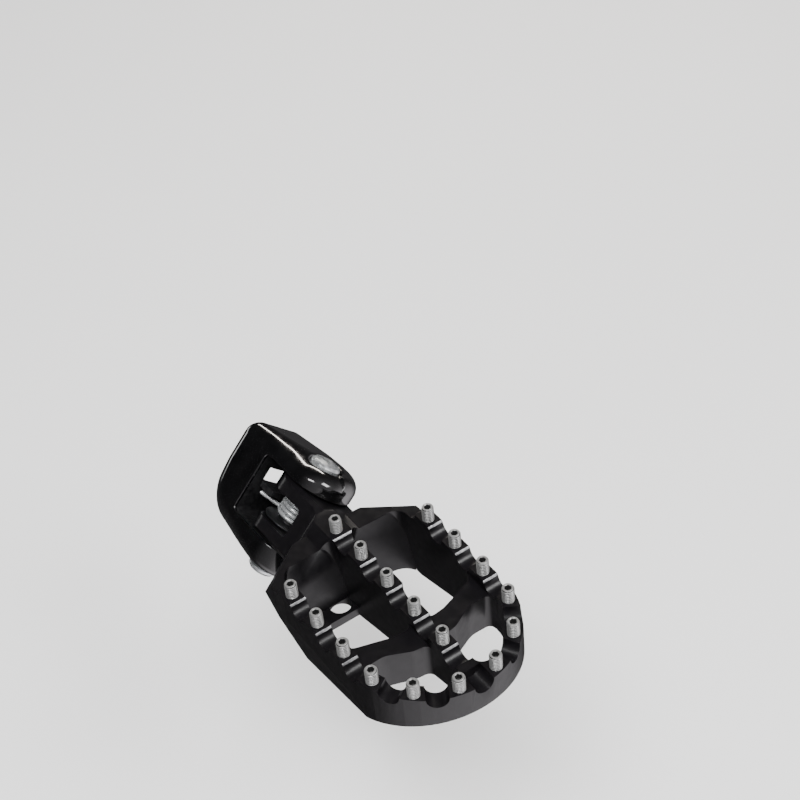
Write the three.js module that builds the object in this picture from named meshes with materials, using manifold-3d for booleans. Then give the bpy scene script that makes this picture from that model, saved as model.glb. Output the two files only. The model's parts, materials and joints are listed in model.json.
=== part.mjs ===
// Folding motorcycle foot peg: a studded aluminium platform on a cast clevis.
//
// Frame, in millimetres: +X outboard along the peg, +Y towards the front wheel,
// +Z up. The origin is the middle of the clevis's inboard mounting face, level
// with the hinge pin. The pin is tilted by HINGE_TILT, its front end higher.
//
// Two working frames are used. The platform is drawn in its own frame, with the
// origin at the foot of the innermost spine stud, on the plane of the lands.
// Everything round the hinge is drawn in the hinge frame: x outboard, y along the
// pin towards its upper front end, z square to both, with the origin on the pin.

import * as THREE from 'three';
import { mergeVertices } from 'three/addons/utils/BufferGeometryUtils.js';
import Module from 'manifold-3d';

const wasm = await Module();
wasm.setup();

// ---------------------------------------------------------------- dimensions

// Hinge
const HINGE_TILT = Math.PI / 4;
const PIVOT_X = 33;              // mounting face to pin axis
const PIN_RADIUS = 4;
const RUNNING_CLEARANCE = 0.06;    // radial, pin in its bores
const REST_GAP = 0.3;              // between pieces that rest on each other

// Platform: spine, two side rails and an end arc that carry the studs
const STUD_PITCH = 14.67;
const SPINE_STUDS = 5;
const RAIL_STUDS = 3;
const RAIL_Y = 26;                 // rail centre line from the spine
const SPINE_HALF_WIDTH = 2.95;
const ARC_CENTRE_X = 50.73;
const ARC_STUD_RADIUS = 26.2;
const ARC_STUD_STEP = 0.516;       // radians between neighbouring end studs
const OUTER_Y = 28.9;
const INNER_Y = 23.4;
const LAND_Z = 14;                 // lands above the pin axis
const PLATFORM_X = PIVOT_X + 27.7; // innermost spine stud from the mounting face
const SCALLOP_RADIUS = 3.5;
const WEB_TOP_Z = -3.7;            // inboard web and cross bar, below the lands
const LAND_CHAMFER = 0.5;
const TIP_DEPTH = 10;              // body depth at the tip
const UNDERSIDE_SLOPE = 0.27;      // the body deepens towards the hinge
const KEEL_Z = -28.6;              // lowest level of the body
const KEEL_HALF_WIDTH = 14.6;
const WING_TOE = [-3.3, 27.2, -13.7];   // lower outer corner of the wings
const WING_HIP = [-5.2, 15];            // the sloped shoulder face starts here
const WING_SHOULDER = [4.4, 28];
const WING_KEEL = [7.5, 23.1, -28.6];
const WING_KINK = [19.6, 27, -26.5];
const WING_RAKE = 0.456;                // of the inboard face below the toe
const SIDE_BREAK_Z = -11.2;        // the side walls lean in below this level
const SIDE_LEAN = 0.135;
const POCKET_WALL_X = 1.2;              // the wall leans outboard below its top
const POCKET_WALL_FOOT_X = 8.1;
const SHELF_END_X = 13.1;
const SHELF_TOP_Z = -24.6;
const SHELF_HOLE = { x: 8, y: 6.8, radius: 3.8 };
const WALL_ARCH = { y: 13.56, z: -37.5, radius: 13, end: 9 };

// Tongue: a square fork, chamfered on its long edges
const TONGUE_HALF = 11;
const TONGUE_END_X = -6.6;
const TONGUE_END_ROUND = 5.4;
const TONGUE_SHOULDER_X = 17.6;
const NECK_HALF = 12.65;
const NECK_RAMP = 2;
const RIDGE_Z = 0.64;
const FORK_HALF_GAP = 5.45;
const FORK_FLOOR_X = 11.1;

// Studs: socket set screws
const STUD_RADIUS = 2;
const STUD_PROUD = 5.2;
const STUD_BURIED = 6.6;
const STUD_SOCKET_ACROSS = 2;
const STUD_SOCKET_DEPTH = 2.2;
const STUD_HOLE_RADIUS = 2.2;

// Clevis
const CLEVIS_INBOARD_X = -PIVOT_X;
const CAVITY_INBOARD_X = -15.5;
const CLEVIS_OUTBOARD_X = 12.2;
const CLEVIS_LOWER_Y = -20.5;      // along the pin, at the ears
const CLEVIS_UPPER_Y = 19.8;
const CLEVIS_BRIDGE_LOWER_Y = -18;
const CLEVIS_BRIDGE_UPPER_Y = 16.2;
const CAVITY_HALF_WIDTH = 11.5;
const CLEVIS_TOP_Z = 11.4;
const CLEVIS_BOTTOM_Z = -14.2;
const CLEVIS_FLOOR_Z = -11.3;
const CLEVIS_FLOOR_END_X = 8;
const CLEVIS_LOWER_CORNER = 12;    // corner radii of the bridge, in plan
const CLEVIS_UPPER_CORNER = 5.6;
const CLEVIS_RIM_ROUND = 5.4;
const CLEVIS_EAR_ROUND = 1.2;
const CLEVIS_EAR_FLAT = 2;
const WINDOW_TOP_Z = 6;
const WINDOW_Y = [0.9, 6.6];
const WINDOW_SLOPE = 0.95;         // its roof falls towards the mounting face
const WINDOW_WALL = 2;             // wall left between the cavity and the hollow behind
const WINDOW_BAR_Z = [-4.7, -2.6];
const HOLLOW_LOWER_Y = -5;
const SPRING_RIB = { x: -8.8, y: [-1.3, 1.1], z: 5.7 };
const MOUNT_HOLE = { y: 5.4, z: 0, radius: 2.5, depth: 7.5 };

// Pin, washer and cap
const HEAD_RADIUS = 5.1;
const HEAD_HEIGHT = 2.5;
const WASHER_RADIUS = 5.6;
const WASHER_THICKNESS = 1.1;
const CAP_RADIUS = 5.4;
const CAP_FACE_Y = 20.7;
const CAP_SEAT_Y = 17.3;
const CAP_STEM_RADIUS = 2.3;
const CAP_STEM_LENGTH = 7;
const CAP_WELL_RADIUS = 5.75;
const CAP_WELL_MOUTH_RADIUS = 8.3;

// Torsion spring and its sleeve
const WIRE_RADIUS = 0.85;
const COIL_RADIUS = 5.5;
const COIL_PITCH = 1.76;
const COIL_FULL_TURNS = 4;
const COIL_START_Y = -3.15;
const COIL_LEG_ANGLE = 0.76;       // first contact with the coil, past its lowest point
const SPRING_CLEVIS_LEG = [[-14.6, -2.5, 4.9], [-11.8, -2.7, 2.6], [-8.7, -3, 0.1],
  [-6.2, -3.1, -1.95]];
const SPRING_PEG_LEG_X = 13.6;
const SPRING_HOLE_RADIUS = 1.2;
const SPRING_HOLE_DEPTH = 3;
const SLEEVE_INNER_RADIUS = 4.1;
const SLEEVE_OUTER_RADIUS = 4.5;
const SLEEVE_FLANGE_RADIUS = 9.4;
const SLEEVE_FLANGE_Y = -4.25;
const SLEEVE_FLANGE_ROUND = 0.35;
const SLEEVE_END_GAP = 0.3;

// ----------------------------------------------------------------- materials

const finish = (color, roughness, metalness) =>
  new THREE.MeshStandardMaterial({ color, roughness, metalness });

const anodised = finish(0x17171a, 0.42, 0.75);
const glossPaint = finish(0x08080a, 0.08, 0.2);
const zinc = finish(0xb9bcbf, 0.32, 1);
const bright = finish(0xd5d8da, 0.18, 1);
const satinSteel = finish(0xc4c4c2, 0.4, 0.9);
const nylon = finish(0x101113, 0.5, 0);

// ------------------------------------------------------------- small helpers

const hingeToPlatform = new THREE.Matrix4()
  .makeTranslation(PIVOT_X - PLATFORM_X, 0, -LAND_Z)
  .multiply(new THREE.Matrix4().makeRotationX(HINGE_TILT));

function toSolid(geometry) {
  const bare = geometry.clone();
  bare.deleteAttribute('normal');
  bare.deleteAttribute('uv');
  const merged = mergeVertices(bare, 1e-5);
  return new wasm.Manifold(new wasm.Mesh({
    numProp: 3,
    vertProperties: Float32Array.from(merged.attributes.position.array),
    triVerts: Uint32Array.from(merged.index.array),
  }));
}

function toGeometry(solid) {
  const mesh = solid.getMesh();
  const geometry = new THREE.BufferGeometry();
  geometry.setAttribute('position', new THREE.BufferAttribute(mesh.vertProperties, 3));
  geometry.setIndex(new THREE.BufferAttribute(mesh.triVerts, 1));
  geometry.computeVertexNormals();
  return geometry;
}

function mirroredY(points) {
  return points.map(([x, y, r]) => [x, -y, r]).reverse();
}

// Outline from [x, y, corner radius] points, walked in order.
function roundedOutline(corners, step = Math.PI / 16) {
  const outline = [];
  corners.forEach(([x, y, radius = 0], i) => {
    const here = new THREE.Vector2(x, y);
    if (radius === 0) {
      outline.push(here);
      return;
    }
    const [px, py] = corners[(i + corners.length - 1) % corners.length];
    const [nx, ny] = corners[(i + 1) % corners.length];
    const back = new THREE.Vector2(px, py).sub(here).normalize();
    const ahead = new THREE.Vector2(nx, ny).sub(here).normalize();
    const half = Math.acos(THREE.MathUtils.clamp(back.dot(ahead), -1, 1)) / 2;
    const centre = back.clone().add(ahead).normalize()
      .multiplyScalar(radius / Math.sin(half)).add(here);
    const run = radius / Math.tan(half);
    const start = back.clone().multiplyScalar(run).add(here).sub(centre);
    const end = ahead.clone().multiplyScalar(run).add(here).sub(centre);
    const turn = Math.atan2(start.cross(end), start.dot(end));
    const count = Math.max(1, Math.ceil(Math.abs(turn) / step));
    for (let k = 0; k <= count; k += 1) {
      const point = start.clone().rotateAround(new THREE.Vector2(), (turn * k) / count);
      outline.push(point.add(centre));
    }
  });
  return new THREE.Shape(outline);
}

// Prism of an (x, y) outline between two z levels.
function prismZ(corners, low, high) {
  const geometry = new THREE.ExtrudeGeometry(roundedOutline(corners),
    { depth: high - low, bevelEnabled: false });
  geometry.translate(0, 0, low);
  return toSolid(geometry);
}

// Prism of an (x, z) outline between two y stations.
function prismY(corners, low, high) {
  const geometry = new THREE.ExtrudeGeometry(roundedOutline(corners),
    { depth: high - low, bevelEnabled: false });
  geometry.rotateX(Math.PI / 2);
  geometry.translate(0, high, 0);
  return toSolid(geometry);
}

// Prism of a (y, z) outline between two x stations.
function prismX(corners, low, high) {
  const geometry = new THREE.ExtrudeGeometry(roundedOutline(corners),
    { depth: high - low, bevelEnabled: false });
  geometry.applyMatrix4(new THREE.Matrix4().set(
    0, 0, 1, low,
    1, 0, 0, 0,
    0, 1, 0, 0,
    0, 0, 0, 1));
  return toSolid(geometry);
}

// Body of revolution about the z axis from [radius, z] points, closed on itself.
function turned(profile, sides) {
  const loop = [...profile, profile[0]].map(([r, z]) => new THREE.Vector2(r, z));
  const geometry = new THREE.LatheGeometry(loop, sides);
  geometry.rotateX(Math.PI / 2);
  return toSolid(geometry);
}

function alongY(solid) {
  return solid.rotate([-90, 0, 0]);
}

function disc(radius, low, high, sides = 32) {
  return turned([[0, low], [radius, low], [radius, high], [0, high]], sides);
}

// Everything beyond the plane through three points, on the side of `outside`.
function beyond(points, outside) {
  const [a, b, c] = points.map((point) => new THREE.Vector3(...point));
  const normal = b.clone().sub(a).cross(c.clone().sub(a)).normalize();
  if (normal.dot(new THREE.Vector3(...outside).sub(a)) < 0) {
    normal.negate();
  }
  const turn = new THREE.Quaternion().setFromUnitVectors(new THREE.Vector3(0, 0, 1), normal);
  const slab = new THREE.BoxGeometry(300, 300, 300).translate(0, 0, 150).applyQuaternion(turn);
  return toSolid(slab.translate(a.x, a.y, a.z));
}

function union(solids) {
  return solids.reduce((whole, piece) => whole.add(piece));
}

function cut(solid, tools) {
  return solid.subtract(union(tools));
}

// ------------------------------------------------------------------ platform

// Stud places on the platform, as [name, x, y].
function studPlaces() {
  const places = [];
  for (let i = 0; i < SPINE_STUDS; i += 1) {
    places.push([`stud_spine_${i + 1}`, i * STUD_PITCH, 0]);
  }
  for (const [side, sign] of [['rear', -1], ['front', 1]]) {
    for (let i = 1; i <= RAIL_STUDS; i += 1) {
      places.push([`stud_${side}_${i}`, i * STUD_PITCH, sign * RAIL_Y]);
    }
    for (let i = 0; i < 3; i += 1) {
      const angle = sign * (2.5 - i) * ARC_STUD_STEP;
      places.push([
        `stud_${side}_${RAIL_STUDS + 1 + i}`,
        ARC_CENTRE_X + ARC_STUD_RADIUS * Math.cos(angle),
        ARC_STUD_RADIUS * Math.sin(angle),
      ]);
    }
  }
  return places;
}

function arcPoints(radius, from, to, count) {
  return Array.from({ length: count + 1 }, (_, i) => {
    const angle = from + ((to - from) * i) / count;
    return [ARC_CENTRE_X + radius * Math.cos(angle), radius * Math.sin(angle)];
  });
}

function platformOutline() {
  const rearSide = [
    [-7, -7.5], [-6.4, -15.6, 4], [WING_TOE[0], -WING_TOE[1]],
    [WING_SHOULDER[0], -WING_SHOULDER[1]], [13.6, -OUTER_Y],
  ];
  return [
    ...rearSide,
    ...arcPoints(OUTER_Y, -Math.PI / 2, Math.PI / 2, 36),
    ...mirroredY(rearSide),
  ];
}

function innerPocket() {
  return [
    [POCKET_WALL_X, -SPINE_HALF_WIDTH, 4.5], [POCKET_WALL_X, -INNER_Y, 5],
    [41.2, -INNER_Y, 4], [45.9, -9, 9], [46.3, -SPINE_HALF_WIDTH, 2.4],
  ];
}

function outerPocket() {
  const start = -Math.PI / 2 + 0.12;
  const end = -Math.asin(SPINE_HALF_WIDTH / INNER_Y) - 0.2;
  return [
    [54.8, -SPINE_HALF_WIDTH, 2.4], [54, -8, 5], [50, -16, 7], [50.2, -INNER_Y + 0.1, 2],
    ...arcPoints(INNER_Y, start, end, 14),
    [ARC_CENTRE_X + INNER_Y - 0.3, -SPINE_HALF_WIDTH, 3.4],
  ];
}

// The cross bar between spine and rail, over which the top is milled down.
function barRecess() {
  return [
    [39, -SPINE_HALF_WIDTH], [39, -INNER_Y], [ARC_CENTRE_X, -INNER_Y],
    ...arcPoints(INNER_Y, -Math.PI / 2 + 0.1, -1.2, 3),
    [58, -SPINE_HALF_WIDTH],
  ];
}

function scallops() {
  const groove = (length) => alongY(disc(SCALLOP_RADIUS, -length / 2, length / 2, 24));
  const tools = [];
  for (let i = 0; i < SPINE_STUDS; i += 1) {
    tools.push(groove(12).translate([(i + 0.5) * STUD_PITCH, 0, 0]));
  }
  for (const side of [-1, 1]) {
    for (let i = 0; i <= RAIL_STUDS; i += 1) {
      tools.push(groove(9).translate([(i + 0.5) * STUD_PITCH, side * RAIL_Y, 0]));
    }
  }
  for (let i = -2; i <= 2; i += 1) {
    tools.push(groove(9).translate([0, ARC_STUD_RADIUS, 0])
      .rotate([0, 0, THREE.MathUtils.radToDeg(i * ARC_STUD_STEP) - 90])
      .translate([ARC_CENTRE_X, 0, 0]));
  }
  return tools;
}

// Bright chamfer across the outboard end of each land on the spine and the rails.
function landChamfers() {
  const landHalf = STUD_PITCH / 2 - SCALLOP_RADIUS;
  const edge = (x, y, halfWidth) => prismY([
    [x + landHalf - LAND_CHAMFER, 0.02], [x + landHalf + 0.5, -LAND_CHAMFER - 0.5],
    [x + landHalf + 0.5, 0.02],
  ], y - halfWidth, y + halfWidth);
  const tools = [];
  for (let i = 0; i < SPINE_STUDS; i += 1) {
    tools.push(edge(i * STUD_PITCH, 0, 5));
  }
  for (const side of [-1, 1]) {
    for (let i = 1; i <= RAIL_STUDS; i += 1) {
      tools.push(edge(i * STUD_PITCH, side * RAIL_Y, 5));
    }
  }
  return tools;
}

function undersideZ(x) {
  const tip = ARC_CENTRE_X + OUTER_Y;
  return Math.max(KEEL_Z, -TIP_DEPTH - UNDERSIDE_SLOPE * (tip - x));
}

function undersideCuts() {
  const tip = ARC_CENTRE_X + OUTER_Y;
  const keelEnd = tip - (-TIP_DEPTH - KEEL_Z) / UNDERSIDE_SLOPE;
  const below = -60;
  const slope = prismY([
    [-40, KEEL_Z], [-40, below], [tip + 5, below], [tip + 5, undersideZ(tip + 5)],
    [keelEnd, KEEL_Z],
  ], -40, 40);
  const lean = (side) => prismX([
    [side * OUTER_Y, SIDE_BREAK_Z], [side * (OUTER_Y + 8), SIDE_BREAK_Z],
    [side * (OUTER_Y + 8), below],
    [side * (OUTER_Y + SIDE_LEAN * (below - SIDE_BREAK_Z)), below],
  ], -20, 100);
  return [slope, lean(-1), lean(1), ...wingCuts(-1), ...wingCuts(1)];
}

// Facets and the arch under the inboard corner on one side of the platform.
function wingCuts(side) {
  const [toeX, , toeZ] = WING_TOE;
  const outward = ([x, y, z]) => [x, side * y, z];
  const band = side > 0 ? [KEEL_HALF_WIDTH, 40] : [-40, -KEEL_HALF_WIDTH];
  const rake = prismY([
    [-40, toeZ], [toeX, toeZ], [toeX + WING_RAKE * (toeZ + 60), -60], [-40, -60],
  ], ...band);
  const shoulder = beyond([
    [...WING_HIP, WEB_TOP_Z], [...WING_SHOULDER, WEB_TOP_Z], WING_TOE,
  ].map(outward), [-30, side * 60, 20]);
  const bilge = beyond([WING_TOE, WING_KINK, WING_KEEL].map(outward), [0, side * 60, -60]);
  const arch = disc(WALL_ARCH.radius, -20, WALL_ARCH.end, 48)
    .rotate([0, 90, 0])
    .translate([0, side * WALL_ARCH.y, WALL_ARCH.z])
    .intersect(prismY([[-30, -60], [30, -60], [30, 0], [-30, 0]], ...band));
  return [rake, shoulder, bilge, arch];
}

// Metal milled away over the inboard web, down to 45 degree flanks of the spine.
function webCuts() {
  const flankTop = NECK_HALF * Math.SQRT2 - LAND_Z;
  const flankFoot = flankTop - WEB_TOP_Z;
  const side = (sign) => prismX([
    [sign * flankTop, 6], [sign * flankTop, 0], [sign * flankFoot, WEB_TOP_Z],
    [sign * 40, WEB_TOP_Z], [sign * 40, 6],
  ], -20, STUD_PITCH / 2);
  return [side(-1), side(1)];
}

// The fork that straddles the spring, with the neck that joins it to the platform.
function tongue() {
  const reach = PLATFORM_X - PIVOT_X + POCKET_WALL_X - 0.4;
  const rampEnd = TONGUE_SHOULDER_X + NECK_RAMP;
  const profile = (endRound) => [
    [TONGUE_END_X, -TONGUE_HALF, endRound], [TONGUE_SHOULDER_X, -TONGUE_HALF],
    [rampEnd, -NECK_HALF], [reach, -NECK_HALF], [reach, NECK_HALF], [rampEnd, NECK_HALF],
    [TONGUE_SHOULDER_X, TONGUE_HALF], [TONGUE_END_X, TONGUE_HALF, endRound],
  ];
  const block = prismY(profile(TONGUE_END_ROUND), -30, 30)
    .intersect(prismZ(profile(0), -30, 30));
  const envelope = prismY([
    [-60, RIDGE_Z], [-60, KEEL_Z], [10, KEEL_Z], [10, 0], [-9.7, 0], [-12.6, RIDGE_Z],
  ], -KEEL_HALF_WIDTH, KEEL_HALF_WIDTH);
  return block.transform(hingeToPlatform.elements).intersect(envelope);
}

function forkCuts() {
  const slot = prismZ([
    [-30, -FORK_HALF_GAP], [FORK_FLOOR_X, -FORK_HALF_GAP, 1], [FORK_FLOOR_X, FORK_HALF_GAP, 1],
    [-30, FORK_HALF_GAP],
  ], -30, 30);
  const bore = alongY(disc(PIN_RADIUS + RUNNING_CLEARANCE, -30, 30));
  const springHole = disc(SPRING_HOLE_RADIUS, 0, SPRING_HOLE_DEPTH + 1, 12)
    .rotate([0, 90, 0])
    .translate([FORK_FLOOR_X - 1, coilEndY(), -COIL_RADIUS]);
  return [slot, bore, springHole].map((tool) => tool.transform(hingeToPlatform.elements));
}

// Leaning wall at the inboard end of the pockets, with the shelf at its foot.
function pocketWall() {
  const wall = prismY([
    [POCKET_WALL_X - 1, WEB_TOP_Z], [POCKET_WALL_X, WEB_TOP_Z],
    [POCKET_WALL_FOOT_X, KEEL_Z], [POCKET_WALL_X - 1, KEEL_Z],
  ], -INNER_Y - 0.5, INNER_Y + 0.5);
  const shelf = prismY([
    [POCKET_WALL_X, SHELF_TOP_Z], [SHELF_END_X, SHELF_TOP_Z], [SHELF_END_X, KEEL_Z],
    [POCKET_WALL_X, KEEL_Z],
  ], -KEEL_HALF_WIDTH, KEEL_HALF_WIDTH);
  const holes = [-1, 1].map((side) =>
    disc(SHELF_HOLE.radius, KEEL_Z - 1, SHELF_TOP_Z, 32)
      .translate([SHELF_HOLE.x, side * SHELF_HOLE.y, 0]));
  return cut(wall.add(shelf), holes);
}

function platform() {
  const pockets = [innerPocket(), outerPocket()]
    .flatMap((outline) => [outline, mirroredY(outline)])
    .map((outline) => prismZ(outline, -60, 20));
  const bars = [barRecess(), mirroredY(barRecess())]
    .map((outline) => prismZ(outline, WEB_TOP_Z, 20));
  const holes = studPlaces().map(([, x, y]) =>
    disc(STUD_HOLE_RADIUS, -STUD_BURIED - 0.5, 5, 16).translate([x, y, 0]));
  const body = cut(prismZ(platformOutline(), KEEL_Z - 4, 0),
    [...pockets, ...bars, ...scallops(), ...landChamfers(), ...undersideCuts(), ...webCuts()]);
  const whole = union([body, tongue(), cut(pocketWall(), undersideCuts())]);
  return cut(whole, [...forkCuts(), ...holes]);
}

// --------------------------------------------------------------------- studs

function stud() {
  const bevel = 0.45;
  const screw = turned([
    [0, -STUD_BURIED], [STUD_RADIUS - 0.8, -STUD_BURIED], [STUD_RADIUS, -STUD_BURIED + 0.8],
    [STUD_RADIUS, STUD_PROUD - bevel], [STUD_RADIUS - bevel, STUD_PROUD], [0, STUD_PROUD],
  ], 16);
  const corner = STUD_SOCKET_ACROSS / Math.sqrt(3);
  return screw.subtract(disc(corner, STUD_PROUD - STUD_SOCKET_DEPTH, STUD_PROUD + 1, 6));
}

// -------------------------------------------------------------------- clevis

// Rounded-edge block: an outline extruded with its rims rolled over.
function rolledBlock(corners, low, high, roll, segments) {
  return new THREE.ExtrudeGeometry(roundedOutline(corners, Math.PI / 20), {
    depth: high - low - 2 * roll,
    bevelEnabled: true,
    bevelThickness: roll,
    bevelSize: roll,
    bevelOffset: -roll,
    bevelSegments: segments,
  }).translate(0, 0, low + roll);
}

function clevisEnvelope() {
  const far = CLEVIS_OUTBOARD_X + 30;
  const plan = rolledBlock([
    [CLEVIS_INBOARD_X, CLEVIS_BRIDGE_LOWER_Y, CLEVIS_LOWER_CORNER],
    [-13, CLEVIS_LOWER_Y, 30], [far, CLEVIS_LOWER_Y], [far, CLEVIS_UPPER_Y],
    [-6, CLEVIS_UPPER_Y, 40],
    [CLEVIS_INBOARD_X, CLEVIS_BRIDGE_UPPER_Y, CLEVIS_UPPER_CORNER],
  ], CLEVIS_BOTTOM_Z, CLEVIS_TOP_Z, CLEVIS_RIM_ROUND, 7);
  const earRound = (CLEVIS_TOP_Z - CLEVIS_BOTTOM_Z - CLEVIS_EAR_FLAT) / 2;
  const side = rolledBlock([
    [CLEVIS_INBOARD_X - 10, CLEVIS_BOTTOM_Z], [CLEVIS_OUTBOARD_X, CLEVIS_BOTTOM_Z, earRound],
    [CLEVIS_OUTBOARD_X, CLEVIS_TOP_Z, earRound], [CLEVIS_INBOARD_X - 10, CLEVIS_TOP_Z],
  ], -CLEVIS_UPPER_Y, -CLEVIS_LOWER_Y, CLEVIS_EAR_ROUND, 4).rotateX(Math.PI / 2);
  return toSolid(plan).intersect(toSolid(side));
}

function clevis() {
  const cavity = prismZ([
    [CAVITY_INBOARD_X, -CAVITY_HALF_WIDTH, 2], [60, -CAVITY_HALF_WIDTH],
    [60, CAVITY_HALF_WIDTH], [CAVITY_INBOARD_X, CAVITY_HALF_WIDTH, 2],
  ], CLEVIS_FLOOR_Z, 40);
  const floorEnd = prismZ([
    [CLEVIS_FLOOR_END_X, -CAVITY_HALF_WIDTH], [60, -CAVITY_HALF_WIDTH],
    [60, CAVITY_HALF_WIDTH], [CLEVIS_FLOOR_END_X, CAVITY_HALF_WIDTH],
  ], -40, 0);
  const below = (startX) => {
    const roofZ = (x) => WINDOW_TOP_Z + WINDOW_SLOPE * (x - CAVITY_INBOARD_X);
    return [[startX, -40], [startX, roofZ(startX)], [CLEVIS_INBOARD_X - 5, roofZ(CLEVIS_INBOARD_X - 5)],
      [CLEVIS_INBOARD_X - 5, -40]];
  };
  const hollowX = CAVITY_INBOARD_X - WINDOW_WALL;
  const window = prismY(below(CAVITY_INBOARD_X), ...WINDOW_Y);
  const hollow = prismY(below(hollowX), HOLLOW_LOWER_Y, WINDOW_Y[1]);
  const bar = prismZ([
    [hollowX, WINDOW_Y[0] - 1], [CAVITY_INBOARD_X, WINDOW_Y[0] - 1],
    [CAVITY_INBOARD_X, WINDOW_Y[1] + 1], [hollowX, WINDOW_Y[1] + 1],
  ], ...WINDOW_BAR_Z);
  const rib = prismZ([
    [CAVITY_INBOARD_X - 1, SPRING_RIB.y[0]], [SPRING_RIB.x, SPRING_RIB.y[0]],
    [SPRING_RIB.x, SPRING_RIB.y[1]], [CAVITY_INBOARD_X - 1, SPRING_RIB.y[1]],
  ], CLEVIS_FLOOR_Z - 1, SPRING_RIB.z);
  const bore = alongY(disc(PIN_RADIUS + RUNNING_CLEARANCE, -40, 40));
  const well = alongY(turned([
    [0, CAP_SEAT_Y], [CAP_WELL_RADIUS, CAP_SEAT_Y],
    [CAP_WELL_MOUTH_RADIUS, CLEVIS_UPPER_Y],
    [CAP_WELL_MOUTH_RADIUS, CLEVIS_UPPER_Y + 5], [0, CLEVIS_UPPER_Y + 5],
  ], 32));
  const mountHoles = [1, -1].map((side) =>
    disc(MOUNT_HOLE.radius, -1, MOUNT_HOLE.depth, 20)
      .rotate([0, 90, 0])
      .translate([CLEVIS_INBOARD_X, side * MOUNT_HOLE.y, MOUNT_HOLE.z]));
  const shell = cut(clevisEnvelope(), [cavity, floorEnd, window, hollow]);
  return cut(union([shell, bar, rib]), [bore, well, ...mountHoles]);
}

// ------------------------------------------------------- pin, washer and cap

const headSeatY = CLEVIS_LOWER_Y - REST_GAP - WASHER_THICKNESS - REST_GAP;

function pivotPin() {
  const top = CAP_SEAT_Y - REST_GAP;
  const base = headSeatY - HEAD_HEIGHT;
  const body = turned([
    [0, base], [HEAD_RADIUS - 1.7, base], [HEAD_RADIUS - 0.55, base + 0.6],
    [HEAD_RADIUS, base + 1.5], [HEAD_RADIUS, headSeatY], [PIN_RADIUS, headSeatY],
    [PIN_RADIUS, top - 0.4], [PIN_RADIUS - 0.4, top], [0, top],
  ], 32);
  const well = disc(CAP_STEM_RADIUS + 0.25, top - CAP_STEM_LENGTH - 1, top + 1, 20);
  const socket = disc(2.6, base - 1, base + 1.6, 6);
  return alongY(cut(body, [well, socket]));
}

function pinWasher() {
  const low = headSeatY + REST_GAP;
  const high = low + WASHER_THICKNESS;
  return alongY(turned([
    [PIN_RADIUS + 0.2, low], [WASHER_RADIUS, low], [WASHER_RADIUS, high],
    [PIN_RADIUS + 0.2, high],
  ], 32));
}

function pivotCap() {
  const under = CAP_SEAT_Y + REST_GAP;
  return alongY(turned([
    [0, under - CAP_STEM_LENGTH], [CAP_STEM_RADIUS, under - CAP_STEM_LENGTH],
    [CAP_STEM_RADIUS, under], [CAP_RADIUS, under], [CAP_RADIUS, CAP_FACE_Y - 1.1],
    [CAP_RADIUS - 0.7, CAP_FACE_Y - 0.35], [CAP_RADIUS - 2.6, CAP_FACE_Y], [0, CAP_FACE_Y],
  ], 32));
}

// ---------------------------------------------------------- spring and sleeve

function coilSweep() {
  return COIL_FULL_TURNS * 2 * Math.PI + COIL_LEG_ANGLE;
}

function coilEndY() {
  return COIL_START_Y + (COIL_PITCH * coilSweep()) / (2 * Math.PI);
}

// From the clevis leg round the coil to the leg that is held in the fork floor.
function springPath() {
  const points = SPRING_CLEVIS_LEG.map((point) => new THREE.Vector3(...point));
  const steps = Math.round((16 * coilSweep()) / (2 * Math.PI));
  for (let i = 0; i <= steps; i += 1) {
    const angle = Math.PI + COIL_LEG_ANGLE - (coilSweep() * i) / steps;
    points.push(new THREE.Vector3(
      COIL_RADIUS * Math.sin(angle),
      COIL_START_Y + ((coilEndY() - COIL_START_Y) * i) / steps,
      COIL_RADIUS * Math.cos(angle)));
  }
  for (const t of [0.33, 0.66, 1]) {
    points.push(new THREE.Vector3(SPRING_PEG_LEG_X * t, coilEndY(), -COIL_RADIUS));
  }
  return new THREE.CatmullRomCurve3(points);
}

function spring() {
  const sides = 8;
  const section = new THREE.Shape(Array.from({ length: sides }, (_, i) =>
    new THREE.Vector2(WIRE_RADIUS, 0).rotateAround(new THREE.Vector2(), (2 * Math.PI * i) / sides)));
  return toSolid(new THREE.ExtrudeGeometry(section, { steps: 100, extrudePath: springPath() }));
}

function springSleeve() {
  const low = -FORK_HALF_GAP + SLEEVE_END_GAP;
  const high = FORK_HALF_GAP - SLEEVE_END_GAP;
  return alongY(turned([
    [SLEEVE_INNER_RADIUS, low], [SLEEVE_FLANGE_RADIUS - SLEEVE_FLANGE_ROUND, low],
    [SLEEVE_FLANGE_RADIUS, low + SLEEVE_FLANGE_ROUND],
    [SLEEVE_FLANGE_RADIUS, SLEEVE_FLANGE_Y - SLEEVE_FLANGE_ROUND],
    [SLEEVE_FLANGE_RADIUS - SLEEVE_FLANGE_ROUND, SLEEVE_FLANGE_Y],
    [SLEEVE_OUTER_RADIUS, SLEEVE_FLANGE_Y],
    [SLEEVE_OUTER_RADIUS, high], [SLEEVE_INNER_RADIUS, high],
  ], 28));
}

// ------------------------------------------------------------------ assembly

function part(name, solid, material) {
  const mesh = new THREE.Mesh(toGeometry(solid), material);
  mesh.name = name;
  return mesh;
}

const footPeg = new THREE.Group();

const hinge = new THREE.Group();
hinge.position.set(PIVOT_X, 0, 0);
hinge.rotation.x = HINGE_TILT;
hinge.add(
  part('clevis', clevis(), glossPaint),
  part('pivot_pin', pivotPin(), zinc),
  part('pin_washer', pinWasher(), zinc),
  part('pivot_cap', pivotCap(), zinc),
  part('return_spring', spring(), bright),
  part('spring_sleeve', springSleeve(), nylon),
);

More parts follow.
